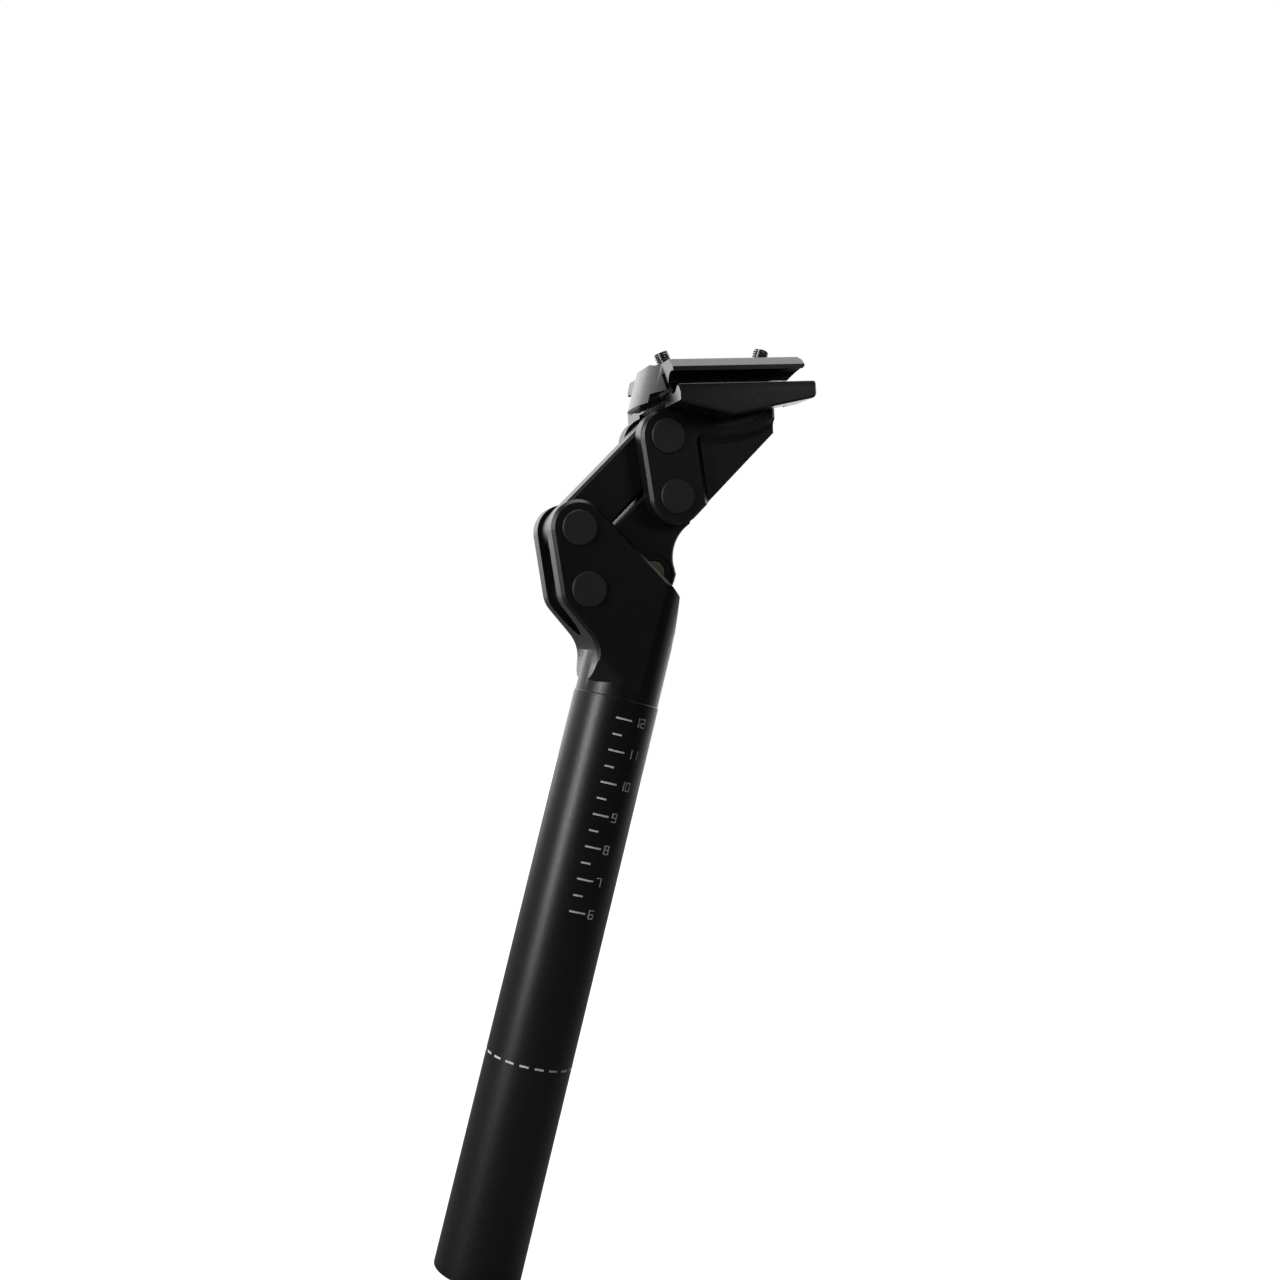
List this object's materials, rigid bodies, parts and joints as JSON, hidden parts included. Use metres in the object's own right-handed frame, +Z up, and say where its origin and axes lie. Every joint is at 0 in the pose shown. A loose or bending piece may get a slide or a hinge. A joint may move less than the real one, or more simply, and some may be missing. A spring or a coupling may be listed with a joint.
{
  "type": "suspension seatpost",
  "caption": "Suspension seatpost: round alloy post with a parallelogram link head, coil spring inside the tube and a tilting clamp for round saddle rails.",
  "frame": {"origin": "centre of the tube's bottom end, on the tube's axis", "axes": "+Z up the tube's axis, +X forward on the bicycle, +Y to the rider's left; the X-Z plane is the plane of symmetry"},
  "size_m": [0.0682, 0.0532, 0.301],
  "materials": {
    "anodised_black": "bead-blasted, black anodised, satin",
    "pivot_cap": "flat moulded cap, fine grain",
    "clamp_black": "glossy black",
    "bolt_steel": "machined steel",
    "ground_steel": "ground steel",
    "bronze": "sintered bronze",
    "barrel_steel": "black oxide",
    "spring_steel": "oiled spring wire",
    "alloy_plain": "turned",
    "polymer": "slippery engineering plastic",
    "rubber": "soft black rubber"
  },
  "bodies": {
    "post": {"post_tube": "anodised_black", "upper_post_axle": "ground_steel", "lower_post_axle": "ground_steel", "post_pivot_screws": "bolt_steel", "post_pivot_caps": "pivot_cap", "retaining_ring": "ground_steel", "top_out_ring": "rubber", "spring_sleeve": "polymer", "main_spring": "spring_steel", "inner_spring": "spring_steel"},
    "preload": {"preload_plug": "alloy_plain", "plug_seal_ring": "rubber", "spring_seat": "alloy_plain"},
    "plunger": {"plunger": "alloy_plain", "plunger_wear_rings": "polymer"},
    "lower_link": {"lower_link": "anodised_black", "roller_pin": "bronze", "lower_link_post_bushes": "bronze", "lower_link_head_bushes": "bronze"},
    "roller": {"thrust_roller": "ground_steel"},
    "upper_link": {"upper_link": "anodised_black", "upper_link_post_bushes": "bronze", "upper_link_head_bushes": "bronze"},
    "head": {"head": "anodised_black", "upper_head_axle": "ground_steel", "lower_head_axle": "ground_steel", "head_pivot_screws": "bolt_steel", "head_pivot_caps": "pivot_cap"},
    "saddle_clamp": {"lower_cradle": "clamp_black", "upper_clamp": "clamp_black", "front_clamp_bolt": "bolt_steel", "rear_clamp_bolt": "bolt_steel", "clamp_barrel_nuts": "barrel_steel", "clamp_saddle_washers": "barrel_steel"}
  },
  "joints": [
    {"name": "suspension_travel", "type": "hinge", "parent": "post", "child": "lower_link", "pos_m": [0.0203, 0, 0.20976], "axis": [0, -1, 0], "range_deg": [0, 50], "stiffness_Nm_per_rad": 25, "springref_deg": -11.46},
    {"name": "upper_link_pivot", "type": "hinge", "parent": "post", "child": "upper_link", "pos_m": [0.0278, 0, 0.227], "axis": [0, -1, 0], "range_deg": [0, 50]},
    {"name": "head_pivot", "type": "hinge", "parent": "lower_link", "child": "head", "pos_m": [0.00005, 0, 0.24483], "axis": [0, -1, 0], "range_deg": [-50, 0]},
    {"name": "plunger_slide", "type": "slide", "parent": "post", "child": "plunger", "axis": [0, 0, -1], "range_m": [0, 0.02014], "deforming": ["main_spring", "inner_spring"]},
    {"name": "roller_spin", "type": "hinge", "parent": "lower_link", "child": "roller", "pos_m": [-0.0003, 0, 0.22056], "axis": [0, -1, 0], "continuous": true},
    {"name": "clamp_tilt", "type": "hinge", "parent": "head", "child": "saddle_clamp", "pos_m": [-0.00087, 0, 0.297], "axis": [0, -1, 0], "range_deg": [-4, 4]},
    {"name": "preload_travel", "type": "slide", "parent": "post", "child": "preload", "axis": [0, 0, 1], "range_m": [0, 0.01], "deforming": ["main_spring", "inner_spring"]}
  ],
  "couplings": [
    {"joint": "upper_link_pivot", "follows": "suspension_travel", "ratio": 1},
    {"joint": "head_pivot", "follows": "suspension_travel", "ratio": -1},
    {"joint": "plunger_slide", "follows": "suspension_travel", "m_per_rad": 0.022504}
  ]
}
